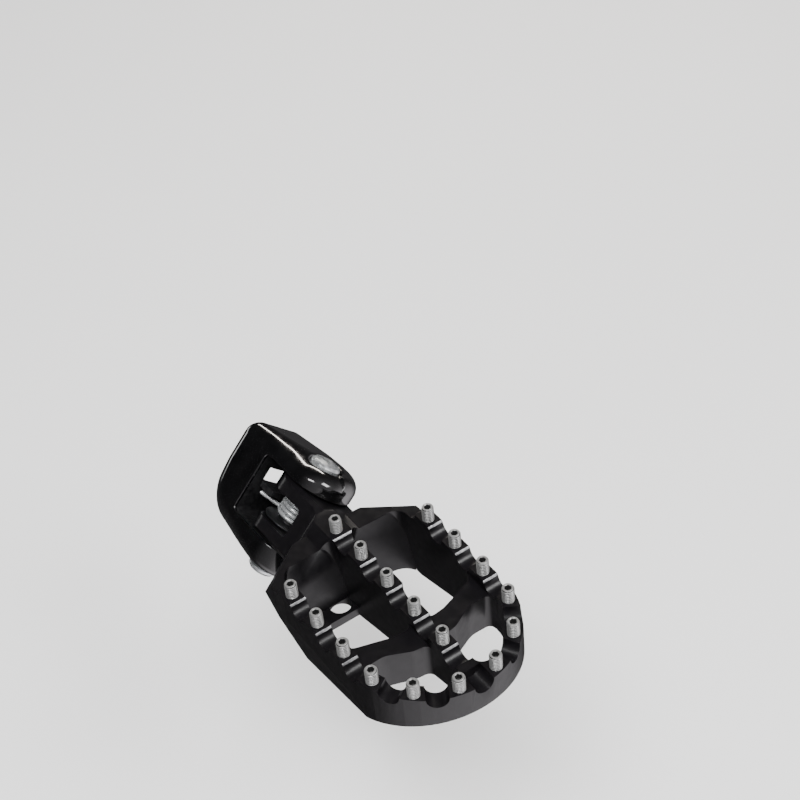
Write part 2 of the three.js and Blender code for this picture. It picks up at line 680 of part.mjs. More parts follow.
const peg = new THREE.Group();
peg.position.set(PLATFORM_X, 0, LAND_Z);
peg.add(part('platform', platform(), anodised));
const studSolid = stud();
for (const [name, x, y] of studPlaces()) {
  const mesh = part(name, studSolid, satinSteel);
  mesh.position.set(x, y, 0);
  peg.add(mesh);
}

footPeg.add(hinge, peg);

export default footPeg;
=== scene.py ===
"""Looks of the folding foot peg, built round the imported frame.

Blender works in metres. Small shapes are drawn in millimetres, in one of two frames:
the hinge frame (x outboard, y up along the pin, z square to both, origin on the pin)
and the stud frame (origin at the foot of a stud, on the lands). A matrix places them.
"""

import json
import math
from itertools import product

import bmesh
import bpy
import numpy as np
from mathutils import Matrix, Vector


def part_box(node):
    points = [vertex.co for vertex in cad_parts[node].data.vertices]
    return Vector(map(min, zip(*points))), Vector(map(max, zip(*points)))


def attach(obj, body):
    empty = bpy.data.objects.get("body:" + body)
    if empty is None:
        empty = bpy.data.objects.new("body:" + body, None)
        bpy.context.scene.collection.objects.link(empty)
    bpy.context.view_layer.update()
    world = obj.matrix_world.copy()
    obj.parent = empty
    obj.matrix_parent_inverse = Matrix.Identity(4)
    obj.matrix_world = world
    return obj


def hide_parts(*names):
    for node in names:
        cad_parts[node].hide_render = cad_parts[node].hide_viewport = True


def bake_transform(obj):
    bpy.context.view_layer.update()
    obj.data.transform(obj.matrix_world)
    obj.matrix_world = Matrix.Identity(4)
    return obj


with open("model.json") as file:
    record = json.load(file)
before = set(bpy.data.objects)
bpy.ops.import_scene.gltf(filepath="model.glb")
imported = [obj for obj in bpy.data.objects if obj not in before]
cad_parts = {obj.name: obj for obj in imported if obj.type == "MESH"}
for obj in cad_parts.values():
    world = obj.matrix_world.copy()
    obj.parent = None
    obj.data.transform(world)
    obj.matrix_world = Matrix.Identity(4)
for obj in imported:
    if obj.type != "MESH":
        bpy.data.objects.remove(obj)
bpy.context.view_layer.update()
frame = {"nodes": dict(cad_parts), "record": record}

MM = 0.001
NODES = frame["nodes"]
CLEVIS, PEG = "clevis", "peg"

# Places taken from the frame
PIVOT = Vector(frame["record"]["behaviour"]["joints"][0]["pos_m"])
HINGE_TILT = math.pi / 4
HINGE = Matrix.Translation(PIVOT) @ Matrix.Rotation(HINGE_TILT, 4, "X") @ Matrix.Scale(MM, 4)
ALONG_PIN = HINGE @ Matrix.Rotation(-math.pi / 2, 4, "X")
MOUNT_FACE = -PIVOT.x / MM
STUD_PROUD = 5.2


def stud_foot(node):
    """Where a stud leaves the lands."""
    low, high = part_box(node)
    return Vector(((low.x + high.x) / 2, (low.y + high.y) / 2, high.z - STUD_PROUD * MM))


LAND = stud_foot("stud_spine_1")
STUDS = [name for name in NODES if name.startswith("stud_")]


# ------------------------------------------------------------ camera, lights

# Where the camera stands, in millimetres from the first stud, and how it is turned, in degrees
CAMERA_PLACE = (321.98, -162.30, 370.61)
CAMERA_AZIMUTH, CAMERA_ELEVATION, CAMERA_ROLL = -30.697, 41.495, -6.108
FOCAL_LENGTH, SENSOR_WIDTH = 71.88, 36


def add_camera():
    """The camera of the reference view."""
    camera = bpy.data.objects.new("camera", bpy.data.cameras.new("camera"))
    bpy.context.scene.collection.objects.link(camera)
    camera.data.lens = FOCAL_LENGTH
    camera.data.sensor_width = SENSOR_WIDTH
    camera.data.clip_start = 0.01
    place = Matrix.Translation(LAND + Vector(CAMERA_PLACE) * MM)
    heading = Matrix.Rotation(math.radians(CAMERA_AZIMUTH + 90), 4, "Z")
    pitch = Matrix.Rotation(math.radians(90 - CAMERA_ELEVATION), 4, "X")
    roll = Matrix.Rotation(math.radians(CAMERA_ROLL), 4, "Z")
    camera.matrix_world = place @ heading @ pitch @ roll
    bpy.context.scene.camera = camera


def map_range(tree, source, start, end, low=0, high=1, smooth=False):
    """A node that takes a number from start..end to low..high."""
    node = tree.nodes.new("ShaderNodeMapRange")
    node.interpolation_type = "SMOOTHSTEP" if smooth else "LINEAR"
    for key, value in (("From Min", start), ("From Max", end), ("To Min", low), ("To Max", high)):
        node.inputs[key].default_value = value
    tree.links.new(source, node.inputs["Value"])
    return node.outputs["Result"]


def combine(tree, operation, first, second):
    """A maths node on two numbers."""
    node = tree.nodes.new("ShaderNodeMath")
    node.operation = operation
    tree.links.new(first, node.inputs[0])
    tree.links.new(second, node.inputs[1])
    return node.outputs["Value"]


def add_surroundings():
    """A studio that is bright outboard and below, and dark where the motorcycle would be."""
    world = bpy.data.worlds.new("world")
    bpy.context.scene.world = world
    world.use_nodes = True
    tree = world.node_tree
    background = tree.nodes["Background"]
    background.inputs["Color"].default_value = (1, 0.965, 1, 1)
    way = tree.nodes.new("ShaderNodeTexCoord").outputs["Generated"]
    split = tree.nodes.new("ShaderNodeSeparateXYZ")
    tree.links.new(way, split.inputs["Vector"])
    outboard = map_range(tree, split.outputs["X"], -0.35, 0.8, 0.06, 2.3, smooth=True)
    below = map_range(tree, split.outputs["Z"], 0.3, -0.4, 0.2, 1, smooth=True)
    strength = combine(tree, "MULTIPLY", outboard, below)
    tree.links.new(strength, background.inputs["Strength"])


def area_light(name, direction, distance, size, watts, tint=(1, 1, 1), shiny=True):
    """A softbox that looks at the first stud from a direction. Sizes are in metres."""
    light = bpy.data.objects.new(name, bpy.data.lights.new(name, "AREA"))
    bpy.context.scene.collection.objects.link(light)
    light.data.shape = "RECTANGLE"
    light.data.size, light.data.size_y = size
    light.data.energy = watts
    light.data.color = tint
    light.visible_glossy = shiny
    away = Vector(direction).normalized()
    light.location = LAND + away * distance
    light.rotation_euler = (-away).to_track_quat("-Z", "Y").to_euler()


def add_lights():
    """A soft key and a ceiling, and three small lights for the glints on the edges."""
    area_light("key", (0.66, 0.38, 0.64), 1.2, (0.45, 0.45), 9)
    area_light("ceiling", (0.2, -0.2, 1), 1.3, (1, 1), 33, shiny=False)
    area_light("sparkle", (0.3, -0.45, 1), 1.1, (0.4, 0.25), 5)
    area_light("rim", (-0.97, -0.22, 0.03), 0.9, (0.5, 0.12), 0.7)
    area_light("streak", (-0.64, 0.66, 0.40), 0.9, (0.6, 0.06), 3, tint=(1, 0.95, 0.88))


def add_floor():
    """A plain pale floor well below the part. Gloss surfaces don't mirror it."""
    size, drop = 8, 0.075
    low = min(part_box(node)[0].z for node in NODES)
    bpy.ops.mesh.primitive_plane_add(size=size, location=(0, 0, low - drop))
    floor = bpy.context.object
    floor.name = "floor"
    floor.data.materials.append(floor_finish())
    floor.visible_glossy = False


# ----------------------------------------------------------------- materials

class Finish:
    """A Principled material with a few procedural helpers. Texture scales are per metre."""

    def __init__(self, name, **values):
        self.material = bpy.data.materials.new(name)
        self.material.use_nodes = True
        self.tree = self.material.node_tree
        self.shader = self.tree.nodes["Principled BSDF"]
        self.place = self.tree.nodes.new("ShaderNodeTexCoord").outputs["Object"]
        self.height = None
        for key, value in values.items():
            socket = key.replace("_", " ").title().replace("Ior", "IOR")
            self.shader.inputs[socket].default_value = value

    def link(self, source, target):
        self.tree.links.new(source, target)

    def noise(self, scale, detail=3, stretch=(1, 1, 1)):
        """A noise texture fixed to the piece, finer along the axes with a larger stretch."""
        mapping = self.tree.nodes.new("ShaderNodeMapping")
        mapping.inputs["Scale"].default_value = stretch
        noise = self.tree.nodes.new("ShaderNodeTexNoise")
        noise.inputs["Scale"].default_value = scale
        noise.inputs["Detail"].default_value = detail
        self.link(self.place, mapping.inputs["Vector"])
        self.link(mapping.outputs["Vector"], noise.inputs["Vector"])
        return noise.outputs["Fac"]

    def thread_shade_mask(self):
        """From 0 in the thread's grooves and the socket to 1 on its crests and on the end face; it masks
        the painted shade of the studs.
        """
        split = self.tree.nodes.new("ShaderNodeSeparateXYZ")
        self.link(self.place, split.inputs["Vector"])
        across = self.tree.nodes.new("ShaderNodeCombineXYZ")
        for axis in "XY":
            self.link(split.outputs[axis], across.inputs[axis])
        radius = self.tree.nodes.new("ShaderNodeVectorMath")
        radius.operation = "LENGTH"
        self.link(across.outputs["Vector"], radius.inputs[0])
        end = map_range(self.tree, split.outputs["Z"], (STUD_PROUD - 0.4) * MM, (STUD_PROUD - 0.15) * MM)
        crest = map_range(self.tree, radius.outputs["Value"], 1.5 * MM, 2.05 * MM)
        return combine(self.tree, "MAXIMUM", end, crest)

    def spread(self, source, low, high, target, edges=(0.35, 0.65)):
        """Drives a number of the shader from low to high by a texture."""
        self.link(map_range(self.tree, source, *edges, low, high), self.shader.inputs[target])

    def tint(self, source, dark, light, edges=(0.35, 0.65)):
        """Varies the base colour between two tones by a texture."""
        ramp = self.tree.nodes.new("ShaderNodeValToRGB")
        first, last = ramp.color_ramp.elements
        first.position, last.position = edges
        first.color, last.color = (*dark, 1), (*light, 1)
        self.link(source, ramp.inputs["Fac"])
        self.link(ramp.outputs["Color"], self.shader.inputs["Base Color"])

    def bump(self, source, depth, strength=1):
        """Adds a height texture, depth in metres, on top of the earlier ones."""
        bump = self.tree.nodes.new("ShaderNodeBump")
        bump.inputs["Distance"].default_value = depth
        bump.inputs["Strength"].default_value = strength
        self.link(source, bump.inputs["Height"])
        if self.height:
            self.link(self.height, bump.inputs["Normal"])
        self.height = bump.outputs["Normal"]
        self.link(self.height, self.shader.inputs["Normal"])


def anodised_finish():
    """Satin black anodised aluminium with a faint milled grain."""
    f = Finish("anodised_aluminium", metallic=0, ior=1.45, specular_ior_level=0.4)
    f.tint(f.noise(260, 4), (0.0032, 0.0029, 0.0034), (0.0048, 0.0043, 0.0051), (0.3, 0.7))
    f.spread(f.noise(420, 2), 0.28, 0.36, "Roughness")
    f.bump(f.noise(500, 1, (0.2, 1, 1)), 3e-6, 0.2)
    return f.material


def chamfer_highlight_finish():
    """The chamfers on the lands: a lighter metal on them paints the bright highlight they catch."""
    f = Finish("chamfer_painted_highlight", metallic=1)
    # Painted highlight: the chamfers' colour is lighter than the anodised body, in place of the light
    # they catch.
    f.tint(f.noise(900, 5), (0.14, 0.14, 0.145), (0.26, 0.26, 0.265))
    f.spread(f.noise(1300, 4), 0.3, 0.46, "Roughness")
    f.bump(f.noise(2600, 3, (1, 0.1, 1)), 8e-6, 0.6)
    return f.material


def gloss_finish():
    """Deep gloss black paint over a cast surface."""
    f = Finish("gloss_black_casting", metallic=0, ior=1.5, coat_weight=1, coat_roughness=0.025)
    f.tint(f.noise(160, 2), (0.0018, 0.0018, 0.002), (0.0032, 0.0032, 0.0035))
    f.spread(f.noise(300, 4), 0.1, 0.2, "Roughness")
    f.bump(f.noise(150, 1), 4e-5, 0.12)
    return f.material


def cast_finish():
    """The same black, rough from the mould, inside the clevis."""
    f = Finish("rough_black_casting", metallic=0, ior=1.5)
    f.tint(f.noise(700, 4), (0.004, 0.004, 0.0045), (0.012, 0.012, 0.0125))
    f.spread(f.noise(900, 4), 0.3, 0.6, "Roughness")
    f.bump(f.noise(1500, 4), 9e-5, 0.8)
    return f.material


def zinc_finish():
    """Zinc plated turned steel with small tool marks and stains."""
    f = Finish("zinc_steel", metallic=0.8)
    f.tint(f.noise(380, 6), (0.42, 0.44, 0.45), (0.70, 0.72, 0.73))
    f.spread(f.noise(620, 5), 0.2, 0.42, "Roughness")
    f.bump(f.noise(1100, 4), 3e-5, 0.5)
    return f.material


def stud_finish():
    """Matt light grey plating on the studs, with painted shade in the thread's grooves and the socket.
    """
    f = Finish("stud_steel", metallic=0.75)
    # Painted shade: dark in the grooves and the socket, light on the crests and the end face.
    f.tint(f.thread_shade_mask(), (0.06, 0.06, 0.06), (0.38, 0.38, 0.376), (0.4, 0.8))
    f.spread(f.noise(1500, 4), 0.34, 0.52, "Roughness")
    f.bump(f.noise(4200, 3), 1.2e-5, 0.6)
    return f.material


def wire_finish():
    """Bright drawn spring wire."""
    f = Finish("spring_wire", metallic=0.75)
    f.tint(f.noise(800, 4), (0.62, 0.64, 0.65), (0.70, 0.72, 0.73))
    f.spread(f.noise(400, 2), 0.22, 0.28, "Roughness")
    return f.material


def nylon_finish():
    """Smooth moulded black nylon."""
    f = Finish("black_nylon", metallic=0, ior=1.53)
    f.tint(f.noise(500, 3), (0.004, 0.0042, 0.0046), (0.007, 0.0073, 0.0078))
    f.spread(f.noise(900, 3), 0.34, 0.46, "Roughness")
    f.bump(f.noise(3000, 2), 1e-5, 0.5)
    return f.material


def floor_finish():
    """Matt off-white, a little cloudy."""
    f = Finish("floor", metallic=0)
    f.tint(f.noise(3, 2), (0.88, 0.88, 0.88), (0.9, 0.9, 0.9))
    f.spread(f.noise(20, 2), 0.75, 0.85, "Roughness")
    return f.material


# -------------------------------------------------------------- mesh helpers

def add_piece(name, points, faces, place, materials, body, nodes=(), crease=35):
    """A mesh object whose points go through the matrix `place`."""
    mesh = bpy.data.meshes.new(name)
    mesh.from_pydata([place @ Vector(p) for p in points], [], faces)
    return finish_piece(name, mesh, materials, body, nodes, crease)


def finish_piece(name, mesh, materials, body, nodes=(), crease=35):
    """Makes the object, smooth up to the crease angle. Without a body it doesn't ride on one."""
    for material in materials:
        mesh.materials.append(material)
    mesh.polygons.foreach_set("use_smooth", [True] * len(mesh.polygons))
    mesh.set_sharp_from_angle(angle=math.radians(crease))
    mesh.update()
    piece = bpy.data.objects.new(name, mesh)
    bpy.context.scene.collection.objects.link(piece)
    if body:
        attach(piece, body)
    if nodes:
        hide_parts(*nodes)
    return piece


def rounded(corners, steps=6):
    """An open profile with its inner corners filleted. Corners are (r, z, fillet)."""
    path = [Vector(corners[0][:2])]
    for before, corner, after in zip(corners, corners[1:], corners[2:]):
        here = Vector(corner[:2])
        fillet = corner[2]
        if fillet == 0:
            path.append(here)
            continue
        back = (Vector(before[:2]) - here).normalized()
        ahead = (Vector(after[:2]) - here).normalized()
        half = back.angle(ahead) / 2
        centre = here + (back + ahead).normalized() * (fillet / math.sin(half))
        start = here + back * (fillet / math.tan(half)) - centre
        end = here + ahead * (fillet / math.tan(half)) - centre
        turn = math.atan2(start.cross(end), start.dot(end))
        for i in range(steps + 1):
            spin = Matrix.Rotation(turn * i / steps, 2)
            path.append(centre + spin @ start)
    path.append(Vector(corners[-1][:2]))
    return [(p.x, p.y) for p in path]


def lathe(profile, sides=72, closed=False):
    """Points and faces of a profile of (r, z) turned about z. Ends on the axis are poles."""
    points, rings = [], []
    for r, z in profile:
        if r < 1e-6:
            rings.append([len(points)] * sides)
            points.append((0, 0, z))
            continue
        rings.append(list(range(len(points), len(points) + sides)))
        angles = [2 * math.pi * i / sides for i in range(sides)]
        points += [(r * math.cos(a), r * math.sin(a), z) for a in angles]
    pairs = list(zip(rings, rings[1:]))
    if closed:
        pairs.append((rings[-1], rings[0]))
    return points, [quad for a, b in pairs for quad in bridge(a, b)]


def bridge(a, b):
    """Faces between two rings of equal count, with the doubled corners of poles left out."""
    faces = []
    for i in range(len(a)):
        j = (i + 1) % len(a)
        face = list(dict.fromkeys((a[i], a[j], b[j], b[i])))
        if len(face) > 2:
            faces.append(face)
    return faces


def hexagon_radius(angle, across):
    """Distance from the middle of a hexagon to its side, at an angle."""
    return across / 2 / math.cos((angle + math.pi / 6) % (math.pi / 3) - math.pi / 6)


# --------------------------------------------------------------------- studs

# An M4 set screw, in the stud frame, in millimetres
CREST_RADIUS, ROOT_RADIUS, THREAD_PITCH, CREST_WIDTH = 2.02, 1.6, 0.7, 1.25
STUD_BOTTOM, BOTTOM_RADIUS, THREAD_TOP = -2.1, 1.4, STUD_PROUD - 0.42
END_RADIUS, END_BEVEL, RUN_OUT = 1.76, 0.1, 0.4
SOCKET_ACROSS, SOCKET_DEPTH, SOCKET_CONE, SOCKET_MOUTH = 2.0, 2.2, 0.35, 1.28
STUD_SIDES, ROWS_PER_PITCH = 36, 8


def thread_radius(angle, z):
    """The rolled thread, which runs out below the bevelled end."""
    turn = (z / THREAD_PITCH - angle / (2 * math.pi)) % 1
    wave = 0.5 - 0.5 * math.cos(2 * math.pi * turn)
    below_end = min(1, max(0, (STUD_PROUD - END_BEVEL - z) / RUN_OUT))
    limit = END_RADIUS + (CREST_RADIUS - END_RADIUS) * below_end
    return min(ROOT_RADIUS + (CREST_RADIUS - ROOT_RADIUS) * min(1, CREST_WIDTH * wave), limit)


def stud_mesh():
    """A set screw: a rolled thread, a bevelled end and a hexagon socket."""
    top, socket_floor = STUD_PROUD, STUD_PROUD - SOCKET_DEPTH
    rows = round((THREAD_TOP - STUD_BOTTOM) / THREAD_PITCH * ROWS_PER_PITCH)
    angles = [2 * math.pi * i / STUD_SIDES for i in range(STUD_SIDES)]
    points, rings = [], []

    def ring(z, radius):
        start = len(points)
        points.extend((radius(a) * math.cos(a), radius(a) * math.sin(a), z) for a in angles)
        rings.append(list(range(start, start + STUD_SIDES)))

    def circle(z, size):
        ring(z, lambda angle: size)

    def hexagon(z, gap=0):
        ring(z, lambda angle: hexagon_radius(angle, SOCKET_ACROSS) + gap)

    circle(STUD_BOTTOM, 0.4)
    circle(STUD_BOTTOM, BOTTOM_RADIUS)
    for z in np.linspace(STUD_BOTTOM, THREAD_TOP, rows + 1):
        ring(z, lambda angle: thread_radius(angle, z))
    circle(top - END_BEVEL, END_RADIUS)
    circle(top, END_RADIUS - END_BEVEL)
    circle(top, SOCKET_MOUTH)
    hexagon(top - 0.2, gap=0.02)
    hexagon(top - 0.3)
    hexagon(socket_floor)
    circle(socket_floor - SOCKET_CONE, 0.3)
    faces = [face for a, b in zip(rings, rings[1:]) for face in bridge(a, b)]
    faces += [rings[0][::-1], rings[-1]]
    mesh = bpy.data.meshes.new("set_screw")
    mesh.from_pydata([Vector(p) * MM for p in points], [], faces)
    return mesh


def add_studs(material):
    """One screw for each stud, each stopped at its own turn."""
    turn_between, crease = 2.4, 38
    master = stud_mesh()
    master.materials.append(material)
    master.polygons.foreach_set("use_smooth", [True] * len(master.polygons))
    master.set_sharp_from_angle(angle=math.radians(crease))
    for count, node in enumerate(STUDS):
        screw = bpy.data.objects.new(node + "_screw", master.copy() if count else master)
        bpy.context.scene.collection.objects.link(screw)
        screw.location = stud_foot(node)
        screw.rotation_euler.z = turn_between * count
        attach(screw, PEG)
        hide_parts(node)


# ------------------------------------------------------------------ platform

def add_platform(materials):
    """The milled body with its edges broken, and a painted highlight on the chamfers of the lands."""
    merge, flat = 0.002 * MM, math.radians(0.8)
    chamfer_low, chamfer_high = LAND.z - 1.1 * MM, LAND.z - 0.1 * MM
    chamfer = Vector((1, 0, 1)).normalized()
    mesh = NODES["platform"].data.copy()
    mesh.materials.clear()
    work = bmesh.new()
    work.from_mesh(mesh)
    bmesh.ops.remove_doubles(work, verts=work.verts, dist=merge)
    bmesh.ops.dissolve_limit(work, angle_limit=flat, verts=work.verts, edges=work.edges)
    # Chamfer faces on the lands get the second material, which paints their highlight.
    for face in work.faces:
        painted_highlight_face = chamfer_low < face.calc_center_median().z < chamfer_high
        face.material_index = int(painted_highlight_face and face.normal.dot(chamfer) > 0.995)
    work.to_mesh(mesh)
    work.free()
    piece = finish_piece("platform_body", mesh, materials, PEG, ["platform"],
                         crease=30)
    bevel = piece.modifiers.new("broken edges", "BEVEL")
    bevel.width = 0.16 * MM
    bevel.segments = 2
    bevel.limit_method = "ANGLE"
    bevel.angle_limit = math.radians(32)
    bevel.harden_normals = False
    bevel.miter_outer = "MITER_ARC"


# -------------------------------------------------------------------- clevis

# Sizes of the casting, in the hinge frame, in millimetres
CASTING_TOP, CASTING_BOTTOM = 11.4, -14.2
EAR_END, EAR_FLAT = 12.2, 2.0
EAR_LOWER, EAR_UPPER = -20.5, 19.8
BRIDGE_LOWER, BRIDGE_UPPER = -18.0, 16.2
KNEE_LOWER, KNEE_UPPER = -13.0, -6.0
CORNER_LOWER, CORNER_UPPER = 11.5, 5.0
CAVITY_INBOARD, CAVITY_HALF, CAVITY_FLOOR, CAVITY_CORNER = -15.5, 11.5, -11.3, 2.0
FLOOR_END = 8.0
WINDOW_LOW, WINDOW_HIGH, WINDOW_TOP, WINDOW_SLOPE = 0.9, 6.6, 6.0, 0.95
HOLLOW_LOW, WALL_INBOARD = -5.0, CAVITY_INBOARD - 2.0
BAR_Y, BAR_Z = (-0.1, 7.6), (-4.7, -2.6)
RIB_X, RIB_Y, RIB_Z = (CAVITY_INBOARD - 1, -8.8), (-1.3, 1.1), (CAVITY_FLOOR - 1, 5.7)
BORE_RADIUS = 4.06
WELL_FLOOR, WELL_RADIUS, WELL_MOUTH, WELL_LEAN = 17.3, 5.75, 6.5, 0.7
MOUNT_HOLE_OFFSET, MOUNT_HOLE_RADIUS, MOUNT_HOLE_DEPTH = 5.4, 2.5, 7.5

# Radii of its edges, and what the lower bridge, the pillow and the upper ear's end add to them
ROLL, ROLL_BRIDGE, ROLL_PILLOW = 5.4, 2.6, 2.2
END_ROLL, END_ROLL_UPPER = 1.6, 3.4
PILLOW_BULGE = 0.7
FINE_ROLL, BORE_ROLL, WELL_ROLL = 0.4, 0.2, 0.6


def round_and(a, b, radius):
    """Intersection of two distance fields with a round edge."""
    corner = np.hypot(np.maximum(a + radius, 0), np.maximum(b + radius, 0))
    return np.minimum(-radius, np.maximum(a, b)) + corner


def soft_and(a, b, reach=1.0):
    """Intersection of two nearly parallel fields, with the knee between them smoothed."""
    overlap = np.maximum(reach - np.abs(a - b), 0) / reach
    return np.maximum(a, b) + overlap ** 2 * reach / 4


def beyond_line(x, y, start, end):
    """Signed distance to the left of the line from start to end."""
    dx, dy = end[0] - start[0], end[1] - start[1]
    return ((x - start[0]) * -dy + (y - start[1]) * dx) / math.hypot(dx, dy)


def step_between(value, low, high):
    """From 0 at low to 1 at high, with a soft start and end."""
    t = np.clip((value - low) / (high - low), 0, 1)
    return t * t * (3 - 2 * t)


def box_field(x, y, z, x_range, y_range, z_range):
    """Distance field of a box, each side given by its two limits."""
    sides = [(x, x_range), (y, y_range), (z, z_range)]
    return np.maximum.reduce([np.maximum(low - v, v - high) for v, (low, high) in sides])


def casting_outline(x, y):
    """The two ears and the bridge that joins them, seen square to the pin."""
    lower_edge = beyond_line(x, y, (MOUNT_FACE, BRIDGE_LOWER), (KNEE_LOWER, EAR_LOWER))
    upper_edge = beyond_line(x, y, (MOUNT_FACE, BRIDGE_UPPER), (KNEE_UPPER, EAR_UPPER))
    lower = soft_and(-lower_edge, EAR_LOWER - y)
    upper = soft_and(upper_edge, y - EAR_UPPER)
    return round_and(round_and(MOUNT_FACE - x, lower, CORNER_LOWER), upper, CORNER_UPPER)


def casting_block(x, y, z):
    """The outline as a thick slab with rolled edges. The upper ear's top is crowned, like a pillow."""
    middle = (CASTING_TOP + CASTING_BOTTOM) / 2
    arc = (CASTING_TOP - CASTING_BOTTOM) / 2 - EAR_FLAT / 2
    past_flat = np.maximum(np.abs(z - middle) - EAR_FLAT / 2, 0)
    slab = np.hypot(np.maximum(x - (EAR_END - arc), 0), past_flat) - arc
    upper_ear = step_between(y, 6, 14)
    lower_bridge = step_between(-y, -2, 15) * step_between(-x, 2, 20)
    outboard, at_end = step_between(x, -32, 1), step_between(x, -9, 14)
    pillow = upper_ear * outboard * (z > middle)
    roll = ROLL + ROLL_BRIDGE * lower_bridge + ROLL_PILLOW * pillow
    end_roll = END_ROLL + END_ROLL_UPPER * upper_ear
    roll = roll + (end_roll - roll) * at_end
    return round_and(casting_outline(x, y), slab / (1 + PILLOW_BULGE * pillow), roll)


def cavity_field(x, y, z):
    """The room for the spring, open on top, and the gap between the ears."""
    sides = np.abs(y) - CAVITY_HALF
    cavity = np.maximum(round_and(CAVITY_INBOARD - x, sides, CAVITY_CORNER), CAVITY_FLOOR - z)
    return np.minimum(cavity, np.maximum(FLOOR_END - x, sides))


def window_field(x, y, z):
    """The opening through the cavity's inboard wall and the hollow behind it."""
    slant, overlap = math.hypot(1, WINDOW_SLOPE), 0.5
    roof = (z - WINDOW_TOP - WINDOW_SLOPE * (x - CAVITY_INBOARD)) / slant
    inside = x - CAVITY_INBOARD - overlap
    window = np.maximum.reduce([roof, inside, WINDOW_LOW - y, y - WINDOW_HIGH])
    hollow = np.maximum.reduce([roof, x - WALL_INBOARD, HOLLOW_LOW - y, y - WINDOW_HIGH])
    return np.minimum(window, hollow)


def casting_field(x, y, z):
    """Distance field of the casting, negative inside."""
    body = round_and(casting_block(x, y, z), -cavity_field(x, y, z), FINE_ROLL)
    body = np.maximum(body, -window_field(x, y, z))
    bar = box_field(x, y, z, (WALL_INBOARD, CAVITY_INBOARD), BAR_Y, BAR_Z)
    rib = round_and(box_field(x, y, z, RIB_X, RIB_Y, RIB_Z), z - RIB_Z[1], FINE_ROLL)
    body = np.minimum(body, np.minimum(bar, rib))
    radial = np.hypot(x, z)
    body = round_and(body, BORE_RADIUS - radial, BORE_ROLL)
    rise = np.clip((y - WELL_FLOOR) / (EAR_UPPER - WELL_FLOOR), 0, 1)
    well_side = WELL_RADIUS + (WELL_MOUTH - WELL_RADIUS) * rise
    well = np.maximum((radial - well_side) * WELL_LEAN, WELL_FLOOR - y)
    body = round_and(body, -well, WELL_ROLL)
    hole_side = np.hypot(np.abs(y) - MOUNT_HOLE_OFFSET, z) - MOUNT_HOLE_RADIUS
    hole = np.maximum(hole_side, x - MOUNT_FACE - MOUNT_HOLE_DEPTH)
    return round_and(body, -hole, FINE_ROLL)


def surface_nets(field, corner, pitch):
    """Quads on the zero level of a sampled field."""
    cells = tuple(n - 1 for n in field.shape)
    offset = np.zeros((*cells, 3), dtype=np.float32)
    count = np.zeros(cells, dtype=np.float32)

    def part(values, shift):
        return values[tuple(slice(s, s + n) for s, n in zip(shift, cells))]

    for axis in range(3):
        for pair in product((0, 1), repeat=2):
            low = list(pair)
            low.insert(axis, 0)
            high = list(pair)
            high.insert(axis, 1)
            a, b = part(field, low), part(field, high)
            crossing = (a < 0) != (b < 0)
            gap = np.where(crossing, a - b, 1)
            for k in range(3):
                along = a / gap if k == axis else low[k]
                offset[..., k] += crossing * along
            count += crossing
    active = count > 0
    index = np.full(cells, -1)
    index[active] = np.arange(active.sum())
    places = np.argwhere(active) + offset[active] / count[active][:, None]
    points = np.array(corner) + places * pitch
    inside = field < 0
    faces = []
    for axis in range(3):
        u, v = (axis + 1) % 3, (axis + 2) % 3
        window = [slice(1, n) for n in cells]
        window[axis] = slice(0, cells[axis])
        ahead = list(window)
        ahead[axis] = slice(1, cells[axis] + 1)
        first, second = inside[tuple(window)], inside[tuple(ahead)]
        start = np.array([s.start for s in window])
        for flip, chosen in ((False, first & ~second), (True, ~first & second)):
            at = np.argwhere(chosen) + start
            step_u, step_v = np.eye(3, dtype=int)[u], np.eye(3, dtype=int)[v]
            loop = [at, at - step_u, at - step_u - step_v, at - step_v]
            quad = np.stack([index[tuple(c.T)] for c in loop], axis=1)
            faces.append(quad if not flip else quad[:, ::-1])
    return points, np.concatenate(faces)


def slope_of(field, points, step):
    """Gradient of a field at points."""
    return np.stack([
        (field(*(points + shift).T) - field(*(points - shift).T)) / (2 * step)
        for shift in np.eye(3) * step], axis=1)


def settle(points, field, rounds=2):
    """Moves points onto the zero level of a distance field, no further than `farthest` a round."""
    probe, flattest, farthest = 0.02, 0.25, 0.12
    for _ in range(rounds):
        value = field(*points.T)
        slope = slope_of(field, points, probe)
        steepness = np.maximum((slope ** 2).sum(axis=1), flattest)
        move = (value / steepness)[:, None] * slope
        points = points - np.clip(move, -farthest, farthest)
    return points


def add_clevis(materials):
    """The casting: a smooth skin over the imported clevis, rough inside the cavity."""
    pitch = 0.4
    margin = 1.3
    corner = np.array((MOUNT_FACE, EAR_LOWER, CASTING_BOTTOM)) - margin
    far = np.array((EAR_END, EAR_UPPER, CASTING_TOP)) + margin
    counts = np.ceil((far - corner) / pitch).astype(int) + 1
    axes = [corner[k] + pitch * np.arange(counts[k]) for k in range(3)]
    grid = np.meshgrid(*axes, indexing="ij")
    points, faces = surface_nets(casting_field(*grid).astype(np.float32), corner, pitch)
    points = settle(points, casting_field)
    piece = add_piece("clevis_casting", points.tolist(), faces.tolist(), HINGE, materials,
                      CLEVIS, ["clevis"], crease=38)
    probe = 0.15
    normals = slope_of(casting_field, points, probe) @ np.array(HINGE.to_3x3().transposed())
    normals /= np.maximum(np.linalg.norm(normals, axis=1), 1e-12)[:, None]
    piece.data.normals_split_custom_set_from_vertices(normals.tolist())
    x, y, z = points[faces].mean(axis=1).T
    reach, rim = 0.25, 1.2
    rough = (x > CAVITY_INBOARD - reach) & (np.abs(y) < CAVITY_HALF + reach)
    rough &= (z < CASTING_TOP - rim) & (z > CAVITY_FLOOR - reach)
    piece.data.polygons.foreach_set("material_index", rough.astype(int).tolist())


# --------------------------------------------------- pin, washer, cap, sleeve

def add_turned(node, corners, material, sides=72, steps=6, closed=False):
    """A piece turned about the pin's axis. Corners of its profile are (r, y, fillet)."""
    points, faces = lathe(rounded(corners, steps), sides, closed)
    add_piece(node + "_turned", points, faces, ALONG_PIN, [material], CLEVIS, [node])


